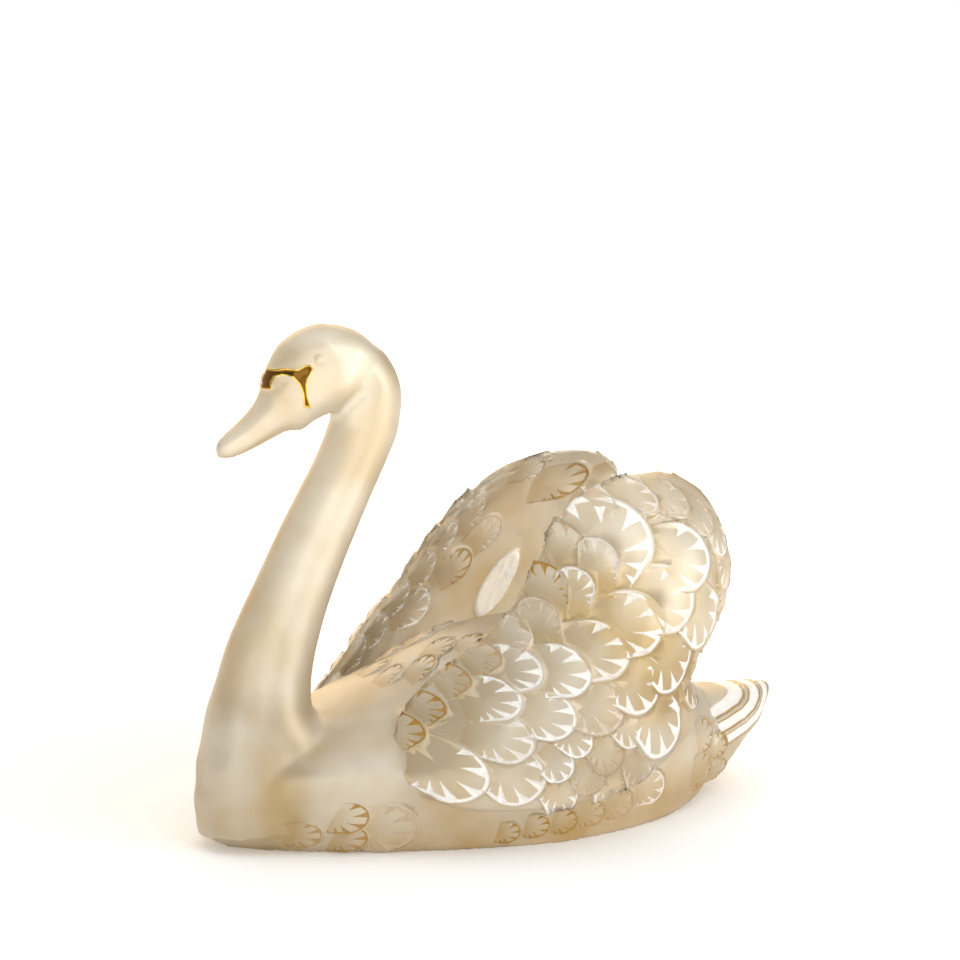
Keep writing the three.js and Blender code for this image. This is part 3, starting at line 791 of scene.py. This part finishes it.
nearer = node(tree, "ShaderNodeMath", {0: left, 1: inside}, operation="MINIMUM").outputs[0]
crescent = node(tree, "ShaderNodeMapRange", {"Value": nearer, 1: 0, 2: 0.025, 3: 0, 4: 1}).outputs[0]
sunk = node(tree, "ShaderNodeMath", {0: tooth, 1: 0.65, 2: 0.35}, operation="MULTIPLY_ADD").outputs[0]
groove = node(tree, "ShaderNodeMath", {0: crescent, 1: sunk}, operation="MULTIPLY").outputs[0]

# The tail's long feathers are polished between their crests, with painted amber reflection along each
# crest.
blade_depth = node(tree, "ShaderNodeAttribute", attribute_name="tail").outputs["Fac"]
halfway = tail_spacing / 2
apart = node(tree, "ShaderNodeMath", {0: blade_depth, 1: halfway}, operation="PINGPONG").outputs[0]
smooth = node(tree, "ShaderNodeMapRange", {"Value": apart, 1: 0.6, 2: 0.8, 3: 0, 4: 1}).outputs[0]
tailed = node(tree, "ShaderNodeMath", {0: blade_depth, 1: 0.5}, operation="GREATER_THAN").outputs[0]
swath = node(tree, "ShaderNodeMath", {0: smooth, 1: tailed}, operation="MULTIPLY").outputs[0]
cut = node(tree, "ShaderNodeMath", {0: crescent, 1: swath}, operation="MAXIMUM").outputs[0]
by_crest = node(tree, "ShaderNodeMapRange", {"Value": apart, 1: 1.1, 2: 1.7, 3: 1, 4: 0}).outputs[0]
crest_painted_amber = node(tree, "ShaderNodeMath", {0: by_crest, 1: tailed}, operation="MULTIPLY").outputs[0]
painted_amber_share = node(tree, "ShaderNodeMath", {0: painted_amber, 1: crest_painted_amber}, operation="MAXIMUM").outputs[0]

# Polished cuts: the wheel leaves a bright wavy face, so the cuts mirror the lights in streaks. Its
# ripples are about 4 mm apart.
ripple = node(tree, "ShaderNodeTexNoise", {"Vector": place, "Scale": 260.0, "Detail": 1.0})
waved = node(
    tree, "ShaderNodeBump", {"Height": ripple.outputs["Fac"], "Strength": 0.5, "Distance": 1.2 * mm},
)
grooved = node(
    tree, "ShaderNodeBump",
    {"Height": groove, "Strength": 0.7, "Distance": 0.9 * mm, "Normal": waved.outputs[0]},
    invert=True,
)
# Painted reflection: the cuts' colour is near white, standing for the lights they mirror, and amber,
# standing for the dark amber they show, by the amount set for each feather and along the tail's crests.
cut_painted_reflection = node(
    tree, "ShaderNodeMix", {0: painted_amber_share, 6: linear(cut_painted_glint_colour), 7: linear(cut_painted_amber_colour)},
    data_type="RGBA",
)
polished = node(tree, "ShaderNodeBsdfPrincipled", {
    "Base Color": cut_painted_reflection.outputs[2], "Roughness": 0.04, "IOR": 1.55, "Transmission Weight": 0.3,
    "Normal": grooved.outputs[0],
})

# Satin: the acid's frost is a few hundredths of a millimetre, drawn here with 0.8 mm grains, which is
# the finest that shows. The satin is warmer in random clouds and towards each feather's root, and
# painted shade, a darker amber, is laid into its colour in the valleys beside the keel, along the
# bottom and on the wings' outer faces.
frost = node(tree, "ShaderNodeTexNoise", {"Vector": place, "Scale": 1200.0, "Detail": 2.0})
etched = node(
    tree, "ShaderNodeBump", {"Height": frost.outputs["Fac"], "Strength": 0.05, "Distance": 0.1 * mm},
)
clouds = node(tree, "ShaderNodeTexNoise", {"Vector": place, "Scale": 28.0, "Detail": 2.0}).outputs[0]
cloudy = node(tree, "ShaderNodeMapRange", {"Value": clouds, 1: 0.42, 2: 0.62, 3: 0, 4: 0.5}).outputs[0]
rooted = node(tree, "ShaderNodeMapRange", {"Value": u, 1: -1.2, 2: 0.3, 3: 0.7, 4: 0.0}).outputs[0]
feathered = node(tree, "ShaderNodeMath", {0: u, 1: -4.0}, operation="GREATER_THAN").outputs[0]
toward_roots = node(tree, "ShaderNodeMath", {0: rooted, 1: feathered}, operation="MULTIPLY").outputs[0]
patchy = node(tree, "ShaderNodeMath", {0: cloudy, 1: toward_roots}, operation="MAXIMUM").outputs[0]
# Painted shade: the darker amber laid into the satin's colour where shade falls, from the point
# attribute made above.
painted_shade_fac = node(tree, "ShaderNodeAttribute", attribute_name="painted_shade").outputs["Fac"]
tone_and_painted_shade = node(tree, "ShaderNodeMath", {0: patchy, 1: painted_shade_fac}, operation="ADD", use_clamp=True).outputs[0]
body = node(
    tree, "ShaderNodeMix", {0: tone_and_painted_shade, 6: linear(crystal_colour), 7: linear(shade_colour)},
    data_type="RGBA",
)
satin = node(tree, "ShaderNodeBsdfPrincipled", {
    "Base Color": body.outputs[2], "Roughness": 0.48, "IOR": 1.5, "Metallic": 0.3,
    "Specular Tint": linear(lustre_colour), "Transmission Weight": 0.7, "Normal": etched.outputs[0],
    "Coat Weight": 0.7, "Coat Roughness": 0.42, "Coat IOR": 1.7,
})

# Bright gold: a fired film, with a painted dark reflection laid into its middle and a painted highlight
# along its raised rim.
gilt = node(tree, "ShaderNodeAttribute", attribute_name="gold").outputs["Fac"]
gold_painted_reflection_share = node(tree, "ShaderNodeMapRange", {"Value": gilt, 1: 0.35, 2: 0.9, 3: 0.0, 4: 1.0}).outputs[0]
gold_with_painted_reflection = node(
    tree, "ShaderNodeMix", {0: gold_painted_reflection_share, 6: linear(gold_painted_highlight_colour), 7: linear(gold_painted_dark_colour)},
    data_type="RGBA",
)
gold = node(tree, "ShaderNodeBsdfPrincipled", {
    "Base Color": gold_with_painted_reflection.outputs[2], "Metallic": 1.0, "Roughness": 0.08,
})
gilded = node(tree, "ShaderNodeMapRange", {"Value": gilt, 1: 0.0, 2: 0.17, 3: 0.0, 4: 1.0}).outputs[0]
glass = node(tree, "ShaderNodeMixShader", {0: cut, 1: satin.outputs[0], 2: polished.outputs[0]})
whole = node(tree, "ShaderNodeMixShader", {0: gilded, 1: glass.outputs[0], 2: gold.outputs[0]})
node(tree, "ShaderNodeOutputMaterial", {"Surface": whole.outputs[0]})
swan.data.materials.clear()
swan.data.materials.append(crystal)

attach(swan, "root")
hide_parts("swan")

# Floor: a wide sheet of white studio paper. It is matt, and glows a little, more so farther off, so
# that it stays pale and runs into the white room.
floor_size = 6  # metres from the middle to each side
floor_mesh = bpy.data.meshes.new("floor")
corners = [(x * floor_size, y * floor_size, 0) for x, y in [(-1, -1), (1, -1), (1, 1), (-1, 1)]]
floor_mesh.from_pydata(corners, [], [(0, 1, 2, 3)])
floor = bpy.data.objects.new("floor", floor_mesh)
bpy.context.collection.objects.link(floor)
paper = bpy.data.materials.new("matt_studio_paper")
paper.use_nodes = True
paper.node_tree.nodes.clear()
spot = node(paper.node_tree, "ShaderNodeTexCoord").outputs["Object"]
off = node(paper.node_tree, "ShaderNodeVectorMath", {0: spot}, operation="LENGTH").outputs["Value"]
glow = node(paper.node_tree, "ShaderNodeMapRange", {"Value": off, 1: 0.2, 2: 0.9, 3: 0.12, 4: 0.6})
sheet = node(paper.node_tree, "ShaderNodeBsdfPrincipled", {
    "Base Color": linear("#F4F3F1"), "Roughness": 0.7, "Emission Color": linear("#FFFFFF"),
    "Emission Strength": glow.outputs[0],
})
node(paper.node_tree, "ShaderNodeOutputMaterial", {"Surface": sheet.outputs[0]})
floor.data.materials.append(paper)

# Light: a white room, warmer and brighter low down behind the swan, so that the satin's edges glow
# amber, with soft panels in front, above and behind.
scene = bpy.context.scene
world = bpy.data.worlds.new("studio")
world.use_nodes = True
sky = world.node_tree
sky.nodes.clear()
seen = node(sky, "ShaderNodeLightPath").outputs["Is Camera Ray"]
way = node(sky, "ShaderNodeSeparateXYZ", {0: node(sky, "ShaderNodeTexCoord").outputs["Generated"]})
behind = node(
    sky, "ShaderNodeMapRange", {"Value": way.outputs["Y"], 1: 0.0, 2: 1.0, 3: 0.38, 4: 1.15},
)
lowly = node(sky, "ShaderNodeMath", {0: way.outputs["Y"], 1: way.outputs["Z"]}, operation="SUBTRACT")
golden = node(
    sky, "ShaderNodeMapRange", {"Value": lowly.outputs[0], 1: -0.2, 2: 0.8, 3: 0.0, 4: 0.7},
)
hue = node(
    sky, "ShaderNodeMix", {0: golden.outputs[0], 6: linear("#FFFFFF"), 7: linear("#D9B06C")},
    data_type="RGBA",
)
shown = node(
    sky, "ShaderNodeMix", {0: seen, 6: hue.outputs[2], 7: linear("#FFFFFF")}, data_type="RGBA",
)
bright = node(sky, "ShaderNodeMath", {0: seen, 1: behind.outputs[0]}, operation="MAXIMUM")
backdrop = node(sky, "ShaderNodeBackground", {0: shown.outputs[2], 1: bright.outputs[0]})
node(sky, "ShaderNodeOutputWorld", {"Surface": backdrop.outputs[0]})
scene.world = world
scene.view_settings.view_transform = "Standard"
lit_place = np.array([0.0, 0.0, 0.1])
# Rows of panels: name, place, side, power and colour, in metres and watts.
panels = [
    ["key", (-0.6, -1.1, 0.5), 0.7, 2.8, "#FFFFFF"], ["fill", (0.2, -0.9, 1.1), 0.8, 4.4, "#FFFFFF"],
    ["right", (0.9, -0.9, 0.5), 0.8, 7.5, "#FFFFFF"], ["left", (-1.3, -0.55, 0.2), 0.6, 2.6, "#FFFFFF"],
    ["back", (0.3, 1.3, 0.6), 1.4, 10.0, "#F3D7A6"],
]
for name, spot, size, power, colour in panels:
    panel = bpy.data.lights.new(name, "AREA")
    panel.color = linear(colour)[:3]
    panel.size = size
    panel.energy = power
    light = bpy.data.objects.new(name, panel)
    light.location = spot
    x, y, z = np.array(spot) - lit_place
    light.rotation_euler = (math.atan2(math.hypot(x, y), z), 0, math.atan2(x, -y))
    bpy.context.collection.objects.link(light)
above_all = bpy.data.lights.new("above_all", "SUN")
above_all.energy = 0.65
above_all.angle = math.radians(60)
bpy.context.collection.objects.link(bpy.data.objects.new("above_all", above_all))

# Camera: a long lens, 27 degrees round to the swan's front from square on and 9.5 degrees up. Its
# focal length is 3038 widths of a picture point, in a picture 960 points wide.
azimuth, elevation, far = math.radians(-27), math.radians(9.5), 1.4
target = np.array([-0.0076, 0.0, 0.157])
sensor_width = 36
level = math.cos(elevation)
away = np.array([math.sin(azimuth) * level, -math.cos(azimuth) * level, math.sin(elevation)])
lens_data = bpy.data.cameras.new("camera")
lens_data.sensor_width = sensor_width
lens_data.lens = 3038 * sensor_width / 960
lens_data.clip_end = 50
camera = bpy.data.objects.new("camera", lens_data)
camera.location = target + far * away
camera.rotation_euler = (math.pi / 2 - elevation, 0, azimuth)
bpy.context.collection.objects.link(camera)
scene.camera = camera
